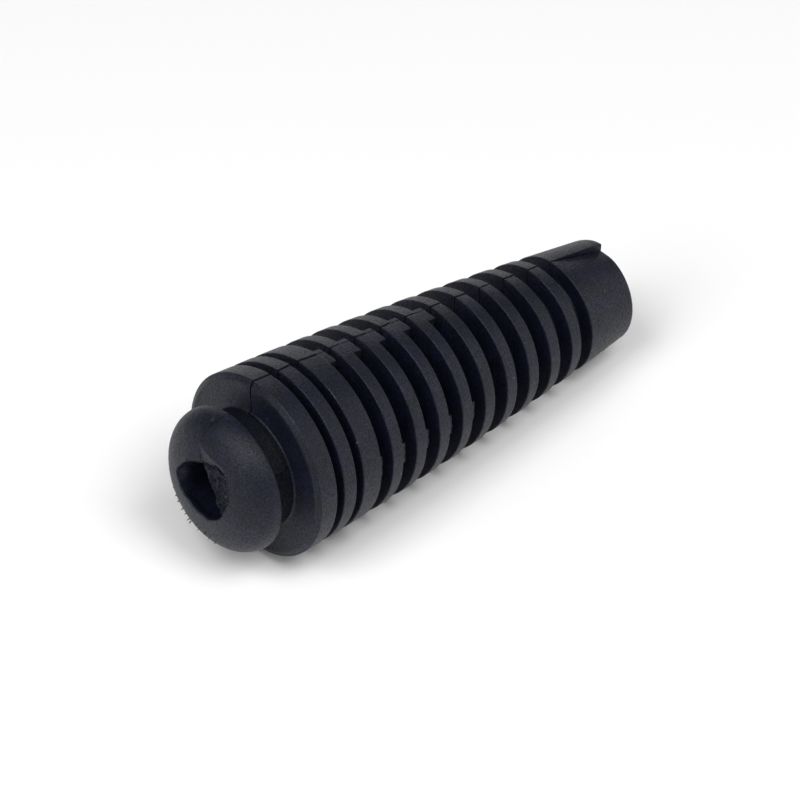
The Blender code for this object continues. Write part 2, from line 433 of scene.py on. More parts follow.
def turned_ring_tree():
    """Sweeps a closed outline round the axis from one side of the slit to the other.

    The outline lies in the XY plane: X is the radius and Y the station. The two lips of the slit
    can stand up or sink, the slit can wander sideways, and the rear end can be ragged.
    """
    tree = new_tree("Turn a split ring", [
        ("Steps", "Int", 240),
        ("Start Angle", "Float", 0.0),
        ("Sweep Angle", "Float", math.tau),
        ("Far Lip Lift", "Float", 0.0),
        ("Near Lip Lift", "Float", 0.0),
        ("Lip Spread", "Float", 0.2),
        ("Lip From", "Float", 0.0),
        ("Lip To", "Float", 0.001),
        ("Gape", "Float", 0.0),
        ("Skew", "Float", 0.0),
        ("Wander", "Float", 0.0),
        ("Wander At", "Float", 0.0),
        ("Unevenness", "Float", 0.0),
        ("Ragged Depth", "Float", 0.0),
        ("Ragged From", "Float", 0.0),
        ("Ragged To", "Float", 0.001),
        ("Copies", "Int", 1),
        ("Copy Spacing", "Float", 0.0),
        ("Seed", "Float", 0.0),
        ("Material", "Material", None),
    ])
    given = add(tree, "NodeGroupInput").outputs
    hub = sizes().bore_radius
    outline = add(tree, "GeometryNodeMeshToCurve", {"Mesh": given["Geometry"]})
    place = add(tree, "GeometryNodeInputPosition").outputs["Position"]
    apart = add(tree, "ShaderNodeSeparateXYZ", {"Vector": place})
    profile_x = add(tree, "ShaderNodeMath", {0: apart.outputs["X"], 1: hub},
                    operation="SUBTRACT")
    profile_y = add(tree, "ShaderNodeMath", {0: apart.outputs["Y"], 1: -1.0},
                    operation="MULTIPLY")
    flat = add(tree, "ShaderNodeCombineXYZ", {"X": profile_x.outputs[0],
                                              "Y": profile_y.outputs[0], "Z": 0.0})
    profile = add(tree, "GeometryNodeSetPosition", {"Geometry": outline.outputs["Curve"],
                                                    "Position": flat.outputs["Vector"]})
    path = add(tree, "GeometryNodeCurveArc", {"Resolution": given["Steps"], "Radius": hub,
                                              "Start Angle": given["Start Angle"],
                                              "Sweep Angle": given["Sweep Angle"]})
    swept = add(tree, "GeometryNodeCurveToMesh", {"Curve": path.outputs["Curve"],
                                                  "Profile Curve": profile.outputs["Geometry"],
                                                  "Fill Caps": True})
    # cylindrical coordinates of every point: angle from the slit, radius, station
    here = add(tree, "ShaderNodeSeparateXYZ", {"Vector": place})
    angle = add(tree, "ShaderNodeMath", {0: here.outputs["Y"], 1: here.outputs["X"]},
                operation="ARCTAN2").outputs[0]
    level = add(tree, "ShaderNodeCombineXYZ", {"X": here.outputs["X"], "Y": here.outputs["Y"]})
    radius = add(tree, "ShaderNodeVectorMath", {0: level.outputs["Vector"]},
                 operation="LENGTH").outputs["Value"]
    station = here.outputs["Z"]
    # how close a point is to the slit, as a bell curve of its angle
    ratio = add(tree, "ShaderNodeMath", {0: angle, 1: given["Lip Spread"]}, operation="DIVIDE")
    square = add(tree, "ShaderNodeMath", {0: ratio.outputs[0], 1: ratio.outputs[0]},
                 operation="MULTIPLY")
    minus = add(tree, "ShaderNodeMath", {0: square.outputs[0], 1: -1.0}, operation="MULTIPLY")
    close = add(tree, "ShaderNodeMath", {0: minus.outputs[0]}, operation="EXPONENT").outputs[0]
    along = add(tree, "ShaderNodeMapRange", {"Value": station, "From Min": given["Lip From"],
                                             "From Max": given["Lip To"]},
                interpolation_type="SMOOTHSTEP").outputs["Result"]
    strength = add(tree, "ShaderNodeMath", {0: close, 1: along}, operation="MULTIPLY").outputs[0]
    near = add(tree, "ShaderNodeMath", {0: angle, 1: 0.0}, operation="GREATER_THAN").outputs[0]
    lip = add(tree, "ShaderNodeMix", {"Factor": near, "A": given["Far Lip Lift"],
                                      "B": given["Near Lip Lift"]}, data_type="FLOAT")
    lift = add(tree, "ShaderNodeMath", {0: lip.outputs["Result"], 1: strength},
               operation="MULTIPLY").outputs[0]
    # long shallow unevenness of the skin
    shifted = add(tree, "ShaderNodeCombineXYZ", {"X": given["Seed"], "Y": given["Seed"],
                                                 "Z": given["Seed"]})
    spot = add(tree, "ShaderNodeVectorMath", {0: place, 1: shifted.outputs["Vector"]},
               operation="ADD").outputs["Vector"]
    waves = add(tree, "ShaderNodeTexNoise", {"Vector": spot, "Scale": SKIN_WAVES, "Detail": 1.0})
    centred = add(tree, "ShaderNodeMath", {0: waves.outputs[0], 1: 0.5}, operation="SUBTRACT")
    wave = add(tree, "ShaderNodeMath", {0: centred.outputs[0], 1: given["Unevenness"],
                                        2: lift}, operation="MULTIPLY_ADD").outputs[0]
    grown = add(tree, "ShaderNodeMath", {0: radius, 1: wave}, operation="ADD").outputs[0]
    # the slit's sideways wander and its gape towards the rear
    bend = add(tree, "ShaderNodeMath", {0: station, 1: given["Wander At"]},
               operation="SUBTRACT")
    hook = add(tree, "ShaderNodeMath", {0: bend.outputs[0], 1: WANDER_SHARPNESS},
               operation="MULTIPLY")
    hooked = add(tree, "ShaderNodeMath", {0: hook.outputs[0]}, operation="TANH").outputs[0]
    drift = add(tree, "ShaderNodeMath", {0: hooked, 1: given["Wander"]},
                operation="MULTIPLY").outputs[0]
    drifted = add(tree, "ShaderNodeMath", {0: drift, 1: close, 2: angle},
                  operation="MULTIPLY_ADD").outputs[0]
    side = add(tree, "ShaderNodeMath", {0: angle}, operation="SIGN").outputs[0]
    gape = add(tree, "ShaderNodeMath", {0: side, 1: given["Gape"], 2: given["Skew"]},
               operation="MULTIPLY_ADD").outputs[0]
    opened = add(tree, "ShaderNodeMath", {0: gape, 1: strength, 2: drifted},
                 operation="MULTIPLY_ADD").outputs[0]
    # the ragged rear end
    teeth = add(tree, "ShaderNodeTexNoise", {"Vector": spot, "Scale": RAGGED_TEETH,
                                             "Detail": 2.0})
    tooth = add(tree, "ShaderNodeMath", {0: teeth.outputs[0], 1: CUT_BACK},
                operation="SUBTRACT")
    rear = add(tree, "ShaderNodeMapRange", {"Value": station, "From Min": given["Ragged From"],
                                            "From Max": given["Ragged To"]}).outputs["Result"]
    torn = add(tree, "ShaderNodeMath", {0: tooth.outputs[0], 1: rear}, operation="MULTIPLY")
    moved = add(tree, "ShaderNodeMath", {0: torn.outputs[0], 1: given["Ragged Depth"],
                                         2: station}, operation="MULTIPLY_ADD").outputs[0]
    cosine = add(tree, "ShaderNodeMath", {0: opened}, operation="COSINE").outputs[0]
    sine = add(tree, "ShaderNodeMath", {0: opened}, operation="SINE").outputs[0]
    new_x = add(tree, "ShaderNodeMath", {0: grown, 1: cosine}, operation="MULTIPLY").outputs[0]
    new_y = add(tree, "ShaderNodeMath", {0: grown, 1: sine}, operation="MULTIPLY").outputs[0]
    target = add(tree, "ShaderNodeCombineXYZ", {"X": new_x, "Y": new_y, "Z": moved})
    shaped = add(tree, "GeometryNodeSetPosition", {"Geometry": swept.outputs["Mesh"],
                                                   "Position": target.outputs["Vector"]})
    smooth = add(tree, "GeometryNodeSetShadeSmooth", {"Geometry": shaped.outputs["Geometry"]})
    # copies round the axis
    spots = add(tree, "GeometryNodePoints", {"Count": given["Copies"]})
    index = add(tree, "GeometryNodeInputIndex").outputs["Index"]
    step = add(tree, "ShaderNodeMath", {0: index, 1: given["Copy Spacing"]},
               operation="MULTIPLY").outputs[0]
    spin = add(tree, "ShaderNodeCombineXYZ", {"Z": step})
    copies = add(tree, "GeometryNodeInstanceOnPoints", {
        "Points": spots.outputs["Points"], "Instance": smooth.outputs["Geometry"],
        "Rotation": spin.outputs["Vector"]})
    real = add(tree, "GeometryNodeRealizeInstances", {"Geometry": copies.outputs["Instances"]})
    painted = add(tree, "GeometryNodeSetMaterial", {"Geometry": real.outputs["Geometry"],
                                                    "Material": given["Material"]})
    add(tree, "NodeGroupOutput", {"Geometry": painted.outputs["Geometry"]})
    return tree


NUB_TIP = 0.03 * MM
NUB_CRUMPLE = 0.16 * MM
NUB_CRUMPLE_SCALE = 6000.0


def nub_tree():
    """Small torn nubs of flash, one at each point of a line, all a little different."""
    tree = new_tree("Scatter flash nubs", [
        ("Spacing", "Float", 0.001),
        ("Nub Radius", "Float", 0.0001),
        ("Nub Height", "Float", 0.0003),
        ("Lean", "Float", 0.0),
        ("Jitter", "Float", 0.0),
        ("Seed", "Int", 0),
        ("Material", "Material", None),
    ])
    given = add(tree, "NodeGroupInput").outputs
    line = add(tree, "GeometryNodeMeshToCurve", {"Mesh": given["Geometry"]})
    spread = add(tree, "GeometryNodeResampleCurve", {"Curve": line.outputs["Curve"],
                                                     "Length": given["Spacing"]}, mode="LENGTH")
    points = add(tree, "GeometryNodeCurveToPoints", {"Curve": spread.outputs["Curve"]},
                 mode="EVALUATED")
    scatter = add(tree, "FunctionNodeRandomValue", {"Min": (-1.0, -1.0, -1.0),
                                                    "Max": (1.0, 1.0, 1.0),
                                                    "Seed": given["Seed"]},
                  data_type="FLOAT_VECTOR")
    offset = add(tree, "ShaderNodeVectorMath", {0: scatter.outputs["Value"],
                                                "Scale": given["Jitter"]}, operation="SCALE")
    moved = add(tree, "GeometryNodeSetPosition", {"Geometry": points.outputs["Points"],
                                                  "Offset": offset.outputs["Vector"]})
    place = add(tree, "GeometryNodeInputPosition").outputs["Position"]
    apart = add(tree, "ShaderNodeSeparateXYZ", {"Vector": place})
    lean = add(tree, "ShaderNodeMath", {0: given["Lean"], 1: -1.0}, operation="MULTIPLY")
    outward = add(tree, "ShaderNodeCombineXYZ", {"X": apart.outputs["X"],
                                                 "Y": apart.outputs["Y"], "Z": 0.0})
    level = add(tree, "ShaderNodeVectorMath", {0: outward.outputs["Vector"]},
                operation="NORMALIZE")
    forward = add(tree, "ShaderNodeCombineXYZ", {"Z": lean.outputs[0]})
    aim = add(tree, "ShaderNodeVectorMath", {0: level.outputs["Vector"],
                                             1: forward.outputs["Vector"]}, operation="ADD")
    wild = add(tree, "FunctionNodeRandomValue", {"Min": (-0.5, -0.5, -0.5),
                                                 "Max": (0.5, 0.5, 0.5),
                                                 "Seed": 7}, data_type="FLOAT_VECTOR")
    askew = add(tree, "ShaderNodeVectorMath", {0: aim.outputs["Vector"],
                                               1: wild.outputs["Value"]}, operation="ADD")
    turn = add(tree, "FunctionNodeAlignRotationToVector", {"Vector": askew.outputs["Vector"]},
               axis="Z")
    nub = add(tree, "GeometryNodeMeshCone", {"Vertices": 7, "Side Segments": 3,
                                             "Radius Top": NUB_TIP,
                                             "Radius Bottom": given["Nub Radius"],
                                             "Depth": given["Nub Height"]})
    size = add(tree, "FunctionNodeRandomValue", {"Min": (0.5, 0.5, 0.4),
                                                 "Max": (1.5, 1.3, 1.5), "Seed": 3},
               data_type="FLOAT_VECTOR")
    nubs = add(tree, "GeometryNodeInstanceOnPoints", {
        "Points": moved.outputs["Geometry"], "Instance": nub.outputs["Mesh"],
        "Rotation": turn.outputs["Rotation"], "Scale": size.outputs["Value"]})
    real = add(tree, "GeometryNodeRealizeInstances", {"Geometry": nubs.outputs["Instances"]})
    crumple = add(tree, "ShaderNodeTexNoise", {"Scale": NUB_CRUMPLE_SCALE, "Detail": 1.0})
    centred = add(tree, "ShaderNodeVectorMath", {0: crumple.outputs["Color"],
                                                 1: (0.5, 0.5, 0.5)}, operation="SUBTRACT")
    scaled = add(tree, "ShaderNodeVectorMath", {0: centred.outputs["Vector"],
                                                "Scale": NUB_CRUMPLE}, operation="SCALE")
    bent = add(tree, "GeometryNodeSetPosition", {"Geometry": real.outputs["Geometry"],
                                                 "Offset": scaled.outputs["Vector"]})
    painted = add(tree, "GeometryNodeSetMaterial", {"Geometry": bent.outputs["Geometry"],
                                                    "Material": given["Material"]})
    add(tree, "NodeGroupOutput", {"Geometry": painted.outputs["Geometry"]})
    return tree


FEATHER_PATCHES = 380.0
FEATHER_FULL, FEATHER_FAINT = 0.75, 0.15


def feather_tree():
    """A thin broken feather of flash that follows an edge and fades in and out."""
    tree = new_tree("Feather of flash", [
        ("Thickness", "Float", 0.00006),
        ("Coverage", "Float", 0.5),
        ("Seed", "Float", 0.0),
        ("Material", "Material", None),
    ])
    given = add(tree, "NodeGroupInput").outputs
    line = add(tree, "GeometryNodeMeshToCurve", {"Mesh": given["Geometry"]})
    place = add(tree, "GeometryNodeInputPosition").outputs["Position"]
    shift = add(tree, "ShaderNodeCombineXYZ", {"X": given["Seed"]})
    spot = add(tree, "ShaderNodeVectorMath", {0: place, 1: shift.outputs["Vector"]},
               operation="ADD")
    patchy = add(tree, "ShaderNodeTexNoise", {"Vector": spot.outputs["Vector"],
                                              "Scale": FEATHER_PATCHES, "Detail": 3.0})
    fade = add(tree, "ShaderNodeMapRange", {"Value": patchy.outputs[0],
                                            "From Min": given["Coverage"],
                                            "From Max": FEATHER_FULL,
                                            "To Min": FEATHER_FAINT, "To Max": 1.0})
    thick = add(tree, "GeometryNodeSetCurveRadius", {"Curve": line.outputs["Curve"],
                                                     "Radius": fade.outputs["Result"]})
    wire = add(tree, "GeometryNodeCurvePrimitiveCircle", {"Resolution": 5,
                                                          "Radius": given["Thickness"]})
    swept = add(tree, "GeometryNodeCurveToMesh", {
        "Curve": thick.outputs["Curve"], "Profile Curve": wire.outputs["Curve"],
        "Scale": fade.outputs["Result"], "Fill Caps": True})
    smooth = add(tree, "GeometryNodeSetShadeSmooth", {"Geometry": swept.outputs["Mesh"]})
    real = add(tree, "GeometryNodeRealizeInstances", {"Geometry": smooth.outputs["Geometry"]})
    painted = add(tree, "GeometryNodeSetMaterial", {"Geometry": real.outputs["Geometry"],
                                                    "Material": given["Material"]})
    add(tree, "NodeGroupOutput", {"Geometry": painted.outputs["Geometry"]})
    return tree


TREES = {}


def shared_tree(name, maker):
    if name not in TREES:
        TREES[name] = maker()
    return TREES[name]


def grown_mesh(name, points, closed, tree, inputs):
    """Runs a tree on a line of points and returns the plain mesh that it makes."""
    count = len(points)
    edges = [(i, (i + 1) % count) for i in range(count if closed else count - 1)]
    host_mesh = bpy.data.meshes.new(f"{name}_line")
    host_mesh.from_pydata([tuple(p) + (0.0,) * (3 - len(p)) for p in points], edges, [])
    host = bpy.data.objects.new(f"{name}_line", host_mesh)
    bpy.context.scene.collection.objects.link(host)
    modifier = host.modifiers.new("Shape", "NODES")
    modifier.node_group = tree
    sockets = {item.name: item.identifier for item in tree.interface.items_tree
               if item.in_out == "INPUT"}
    for label, value in inputs.items():
        modifier[sockets[label]] = value
    graph = bpy.context.evaluated_depsgraph_get()
    mesh = bpy.data.meshes.new_from_object(host.evaluated_get(graph))
    mesh.name = name
    bpy.data.objects.remove(host)
    bpy.data.meshes.remove(host_mesh)
    return mesh


def mend(mesh, sharp=38.0):
    """Closes doubles, turns faces outwards and marks the crisp edges."""
    bm = bmesh.new()
    bm.from_mesh(mesh)
    bmesh.ops.remove_doubles(bm, verts=bm.verts, dist=1e-7)
    bmesh.ops.recalc_face_normals(bm, faces=bm.faces)
    bm.to_mesh(mesh)
    bm.free()
    mesh.shade_smooth()
    mesh.set_sharp_from_angle(angle=math.radians(sharp))
    return mesh


def joined(meshes):
    """One mesh from several that share a material."""
    bm = bmesh.new()
    for mesh in meshes:
        bm.from_mesh(mesh)
    bm.to_mesh(meshes[0])
    bm.free()
    for mesh in meshes[1:]:
        bpy.data.meshes.remove(mesh)
    return meshes[0]


def piece(name, mesh, material):
    """Puts a mesh made in the sleeve's own frame in place as a finished object."""
    mesh.transform(sleeve_frame())
    mesh.materials.clear()
    mesh.materials.append(material)
    mesh.name = name
    obj = bpy.data.objects.new(name, mesh)
    bpy.context.scene.collection.objects.link(obj)
    return obj


# Half of the angle that the slit leaves open, through the rings and across the dome
SLIT_HALF_ANGLE = math.radians(0.16)
HEAD_SLIT_HALF_ANGLE = math.radians(0.012)


def turned(name, outline, material, steps=240, start=None, sweep=None, **inputs):
    """A mesh turned round the axis by the split ring tree, in the sleeve's own frame."""
    start = SLIT_HALF_ANGLE if start is None else start
    sweep = math.tau - 2.0 * SLIT_HALF_ANGLE if sweep is None else sweep
    labels = {key.replace("_", " ").title(): value for key, value in inputs.items()}
    values = {"Steps": steps, "Start Angle": start, "Sweep Angle": sweep,
              "Material": material, **labels}
    mesh = grown_mesh(name, outline, True, shared_tree("ring", turned_ring_tree), values)
    return mend(mesh)


# ---------------------------------------------------------------- materials

# Cells per metre of the mottling, the dust and the skin's shallow swell
FLOW_SCALE = 400.0
DUST_SCALE = 900.0
SWELL_SCALE = 900.0
SWELL_DEPTH = 0.022 * MM
# A speck's radius as a share of its cell, the share of cells that have one, and its strength
SPECK_RADIUS = 0.11
SPECK_CHANCE = 0.045
SPECK_STRENGTH = 0.55
# How much the grain darkens its hollows and lightens its peaks, and roughens and smooths them
FLECK_DARK, FLECK_LIGHT = 0.10, 5.00
ROUGHER, SMOOTHER = 0.16, 0.12
RUBBER_IOR = 1.52


def moulded_rubber(name, seed, base=None, dark=None, rough=None, dusty=1.0, shine=1.0):
    """EPDM rubber from a spark-eroded mould: near black, satin, with a fine even grain, faint
    mottling where the compound flowed, and a few specks of pale dust."""
    look = finish()
    material = bpy.data.materials.new(name)
    material.use_nodes = True
    tree = material.node_tree
    tree.nodes.clear()
    base = tuple(base or look.rubber) + (1.0,)
    dark = tuple(dark or look.rubber_dark) + (1.0,)
    dust = tuple(look.dust) + (1.0,)
    rough = look.roughness if rough is None else rough
    where = add(tree, "ShaderNodeTexCoord").outputs["Object"]
    spot = add(tree, "ShaderNodeMapping", {"Vector": where, "Location": (seed * 0.013,
                                                                         seed * 0.007, 0.0)})
    spot = spot.outputs["Vector"]
    # flow mottling about 2.5 mm across
    cloud = add(tree, "ShaderNodeTexNoise", {"Vector": spot, "Scale": FLOW_SCALE,
                                             "Detail": 3.0, "Roughness": 0.6})
    tone = add(tree, "ShaderNodeValToRGB", {"Fac": cloud.outputs["Fac"]})
    tone.color_ramp.elements[0].position, tone.color_ramp.elements[0].color = 0.35, dark
    tone.color_ramp.elements[1].position, tone.color_ramp.elements[1].color = 0.68, base
    # fine mould grain, drawn about twice as coarse as it is so that it shows
    grain = add(tree, "ShaderNodeTexNoise", {"Vector": spot, "Scale": 1.0 / look.grain,
                                             "Detail": 2.5, "Roughness": 0.65})
    fleck = add(tree, "ShaderNodeMapRange", {"Value": grain.outputs["Fac"], "From Min": 0.40,
                                             "From Max": 0.66, "To Min": FLECK_DARK,
                                             "To Max": FLECK_LIGHT})
    shaded = add(tree, "ShaderNodeMix", {"Factor": 1.0, "A": tone.outputs["Color"],
                                         "B": fleck.outputs["Result"]},
                 data_type="RGBA", blend_type="MULTIPLY")
    # sparse dust specks about 0.25 mm across, one in some of the 1.1 mm cells
    cells = add(tree, "ShaderNodeTexVoronoi", {"Vector": spot, "Scale": DUST_SCALE,
                                               "Randomness": 1.0})
    near = add(tree, "ShaderNodeMath", {0: cells.outputs["Distance"], 1: SPECK_RADIUS},
               operation="LESS_THAN")
    chance = add(tree, "ShaderNodeSeparateColor", {"Color": cells.outputs["Color"]})
    rare = add(tree, "ShaderNodeMath", {0: chance.outputs["Red"],
                                        1: 1.0 - SPECK_CHANCE * dusty},
               operation="GREATER_THAN")
    speck = add(tree, "ShaderNodeMath", {0: near.outputs[0], 1: rare.outputs[0]},
                operation="MULTIPLY")
    faint = add(tree, "ShaderNodeMath", {0: speck.outputs[0], 1: SPECK_STRENGTH},
                operation="MULTIPLY")
    dusted = add(tree, "ShaderNodeMix", {"Factor": faint.outputs[0],
                                         "A": shaded.outputs["Result"], "B": dust},
                 data_type="RGBA")
    # satin: rougher in the hollows of the grain
    gloss = add(tree, "ShaderNodeMapRange", {"Value": grain.outputs["Fac"], "From Min": 0.3,
                                             "From Max": 0.7, "To Min": rough + ROUGHER,
                                             "To Max": rough - SMOOTHER})
    swell = add(tree, "ShaderNodeTexNoise", {"Vector": spot, "Scale": SWELL_SCALE,
                                             "Detail": 1.0})
    broad = add(tree, "ShaderNodeBump", {"Height": swell.outputs["Fac"], "Strength": 1.0,
                                         "Distance": SWELL_DEPTH})
    fine = add(tree, "ShaderNodeBump", {"Height": grain.outputs["Fac"], "Strength": 1.0,
                                        "Distance": look.grain_depth,
                                        "Normal": broad.outputs["Normal"]})
    shader = add(tree, "ShaderNodeBsdfPrincipled", {
        "Base Color": dusted.outputs["Result"], "Roughness": gloss.outputs["Result"],
        "IOR": RUBBER_IOR, "Specular IOR Level": look.gloss * shine, "Metallic": 0.0,
        "Normal": fine.outputs["Normal"]})
    add(tree, "ShaderNodeOutputMaterial", {"Surface": shader.outputs["BSDF"]})
    return material


MATERIALS = {}


def shared_material(name, **settings):
    if name not in MATERIALS:
        MATERIALS[name] = moulded_rubber(name, seed=len(MATERIALS) * 3.1, **settings)
    return MATERIALS[name]


def skin():
    return shared_material("satin_moulded_rubber")


# Darker, less glossy rubber for the neck, the keys and the core walls: its darker base colour is
# painted shade for these deep grooves, not a different rubber.
def shaded_groove_skin():
    return shared_material("matt_groove_rubber", base=linear("#040508"), rough=0.58,
                           dusty=0.3, shine=0.45)


def torn_skin():
    return shared_material("torn_rubber", base=finish().torn, dark=finish().rubber_dark,
                           rough=0.70, dusty=0.0, shine=0.35)


# Paler rubber for the flash nubs and feathers; its paleness is partly wear and partly painted
# highlight for the bright lines on the rings' front edges.
def flash_highlight_skin():
    return shared_material("rubber_flash", base=finish().rubbed_and_highlit, dark=finish().rubber,
                           rough=0.38, dusty=0.0)


# ---------------------------------------------------------------- pieces

# The mouth's uneven lip, as radius in mm by degrees from the slit
MOUTH = ((-180, 2.7), (-140, 2.7), (-102, 3.6), (-80, 4.2), (-54, 3.8), (-10, 3.4), (10, 3.8),
         (30, 4.9), (48, 5.0), (66, 4.7), (107, 3.7), (155, 3.2), (180, 2.7))
# The lead-in notch: its tip, the ends of its two edges, and how steeply it falls inwards
NOTCH_TIP = Vector((5.75, -0.84)) * MM
NOTCH_NEAR = Vector((4.70, 2.47)) * MM
NOTCH_FAR = Vector((2.18, -2.96)) * MM
NOTCH_SLOPE = 0.45
# The slit gapes with the notch's depth, up to a limit
NOTCH_GAPE = 0.3
NOTCH_GAPE_LIMIT = 0.035 * MM
# The slit's drift across the dome: how far it turns, how wide and how deep that reaches
HEAD_TWIST = math.radians(-8.0)
TWIST_SPREAD = 0.6
TWIST_DEPTH = 3.6 * MM
# How deep the mouth's lip is carried into the bore, how far out over the dome, and the length
# of rim that it leaves alone
MOUTH_FADE = 2.4 * MM
MOUTH_REACH = 4.3 * MM
RIM_KEPT = 1.2 * MM
BORE_MARGIN = 0.2 * MM
# A small nick in the rim of the dome
NICK_AT = Vector((8.15 * MM, -0.5 * MM, 2.9 * MM))
NICK_RADIUS = 0.5 * MM
NICK_DEPTH = 0.26 * MM


def smooth(share):
    share = max(0.0, min(1.0, share))
    return share * share * (3.0 - 2.0 * share)


def mouth_radius(angle, station):
    """Radius of the flared mouth at an angle; it settles into the plain bore with depth."""
    size = sizes()
    turn = math.degrees(angle)
    lip = size.bore_radius
    for (first, low), (last, high) in zip(MOUTH, MOUTH[1:]):
        if first <= turn <= last:
            lip = (low + (high - low) * smooth((turn - first) / (last - first))) * MM
    depth = (station - dome_station(size.bore_radius)) / size.mouth_depth
    return size.bore_radius + (lip - size.bore_radius) * (1.0 - smooth(depth))


def notch_drop(spot):
    """How far the notch lies below the dome: two facets that fall away from its edges."""
    falls = []
    for end in (NOTCH_NEAR, NOTCH_FAR):
        edge = (end - NOTCH_TIP).normalized()
        inward = Vector((-edge.y, edge.x))
        if inward.dot(NOTCH_TIP) > 0.0:
            inward = -inward
        falls.append((spot - NOTCH_TIP).dot(inward))
    turn = math.degrees(math.atan2(spot.y, spot.x))
    sides = smooth((turn + 62.0) / 16.0) * smooth((58.0 - turn) / 28.0)
    return NOTCH_SLOPE * max(0.0, min(falls)) * sides


def head_point(co):
    """Moves one point of the dome: the slit's drift, the mouth, the notch and a small nick."""
    size = sizes()
    bore, front = size.bore_radius, dome_station(size.bore_radius)
    radius, angle = math.hypot(co.x, co.y), math.atan2(co.y, co.x)
    at_slit = abs(angle) < math.radians(0.1)
    side = math.copysign(1.0, angle)
    angle += HEAD_TWIST * math.exp(-(angle / TWIST_SPREAD) ** 2) * (
        1.0 - smooth(co.z / TWIST_DEPTH))
    lift = co.z - dome_station(radius)
    inside = radius < bore + BORE_MARGIN and co.z > front + BORE_MARGIN
    if inside or radius < bore + 0.001 * MM:
        fade = 1.0 - smooth((co.z - front) / MOUTH_FADE)
        radius += mouth_radius(angle, max(co.z, front)) - bore
        co.z += max(0.0, dome_station(radius) - front) * fade
    else:
        fade = 1.0 if co.z < size.head_length - RIM_KEPT else 0.0
        radius += (mouth_radius(angle, 0.0) - bore) * fade * (
            1.0 - smooth((radius - bore) / MOUTH_REACH))
        co.z += (dome_station(radius) + lift - co.z) * fade
    co.x, co.y = radius * math.cos(angle), radius * math.sin(angle)
    drop = notch_drop(Vector((co.x, co.y)))
    co.z += drop * fade
    if at_slit and drop > 0.0:
        co.y += side * min(NOTCH_GAPE_LIMIT, drop * NOTCH_GAPE) * fade
    nick = (co - NICK_AT).length / NICK_RADIUS
    if nick < 1.0:
        co.x -= NICK_DEPTH * (1.0 - nick)
    return co


def make_head(context):
    mesh = turned("snap_head_dome", head_outline(), skin(), steps=520, unevenness=0.03 * MM,
                  start=HEAD_SLIT_HALF_ANGLE, sweep=math.tau - 2.0 * HEAD_SLIT_HALF_ANGLE,
                  lip_spread=0.12)
    for vertex in mesh.vertices:
        vertex.co = head_point(vertex.co.copy())
    obj = piece("snap_head_dome", mesh, skin())
    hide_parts("snap_head")
    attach(obj, "head")


# How far the neck tube runs on into the head and the flange
NECK_OVERLAP = 0.6 * MM
# The keys: how far they sink into the neck and the head, and where they start and end
KEY_ROOT = 0.3 * MM
KEY_OVERLAP = 0.2 * MM
KEY_ROUNDING = 0.14 * MM
KEY_START = math.radians(3.0)
KEY_SWEEP = math.radians(60.0)


def make_neck(context):
    size = sizes()
    front = size.head_length - NECK_OVERLAP
    back = flange_front() + NECK_OVERLAP
    outline = core_outline(front, back, size.neck_radius, size.neck_radius)
    # The neck tube and its keys take the darker rubber, whose colour paints the shade between the
    # head and the flange.
    mesh = turned("neck_tube", outline, shaded_groove_skin(), steps=180)
    obj = piece("neck_tube", mesh, shaded_groove_skin())
    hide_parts("neck")
    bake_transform(obj)
    key_front = size.head_length - KEY_OVERLAP
    key_back = size.head_length + size.key_length
    corners = [(size.neck_radius - KEY_ROOT, key_front, 0.0),
               (size.key_radius, key_front, 0.0),
               (size.key_radius, key_back, KEY_ROUNDING),
               (size.neck_radius - KEY_ROOT, key_back, 0.0)]
    mesh = turned("neck_keys", rounded(corners), shaded_groove_skin(), steps=48, start=KEY_START,
                  sweep=KEY_SWEEP, copies=2, copy_spacing=math.pi)
    obj = piece("neck_keys", mesh, shaded_groove_skin())
    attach(obj, "head")


# Far and near lip in mm, sideways wander in degrees and its place within the ring, for each ring
LIPS = {
    "flange": (0.04, -0.03, 0.2, 0.35),
    "rib_02": (0.05, -0.02, -0.3, 0.45),
    "rib_03": (0.06, -0.02, 0.6, 0.18),
    "rib_04": (0.02, 0.03, -0.2, 0.5),
    "rib_05": (0.05, 0.00, 0.3, 0.6),
    "rib_06": (0.03, -0.03, -0.3, 0.4),
    "rib_07": (0.04, 0.02, 0.2, 0.5),
    "rib_08": (0.05, -0.02, -0.2, 0.5),
    "rib_09": (0.06, -0.02, 0.3, 0.4),
    "rib_10": (0.05, 0.00, -0.3, 0.6),
    "rib_11": (0.06, -0.03, 0.2, 0.5),
    "rib_12": (0.06, -0.02, -0.2, 0.4),
}


RING_STEPS = 300
RING_UNEVENNESS = 0.05 * MM


def make_rings(context):
    """The flange and ribs 2 to 12; their lips are raised evenly from end to end."""
    for index, (name, (far, near, wander, at)) in enumerate(LIPS.items()):
        start, end = lands()[name][:2]
        mesh = turned(f"{name}_ring", ring_outline(name), skin(), steps=RING_STEPS,
                      far_lip_lift=far * MM, near_lip_lift=near * MM, lip_spread=0.11,
                      lip_from=start - 2.0 * MM, lip_to=start - 1.0 * MM,
                      wander=math.radians(wander), wander_at=start + (end - start) * at,
                      unevenness=RING_UNEVENNESS, seed=float(index))
        obj = piece(f"{name}_ring", mesh, skin())
        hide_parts(name)
        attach(obj, body_of_ring(name))


def make_collar(context):
    """The plain collar; towards the rear its far lip rides up over the near one."""
    start = lands()["tail_collar"][0]
    mesh = turned("tail_collar_tube", ring_outline("tail_collar"), skin(), steps=RING_STEPS,
                  far_lip_lift=0.62 * MM, near_lip_lift=-0.30 * MM, lip_spread=0.34,
                  lip_from=start - 0.5 * MM, lip_to=start + 4.8 * MM, skew=math.radians(7.0),
                  gape=math.radians(0.8), unevenness=RING_UNEVENNESS, seed=20.0)
    obj = piece("tail_collar_tube", mesh, skin())
    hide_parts("tail_collar")
    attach(obj, "tail")


# The seam between two core walls, and how much of each groove's ends does not bend
CORE_SEAM = 0.005 * MM
CORE_TURN_STEPS = 144


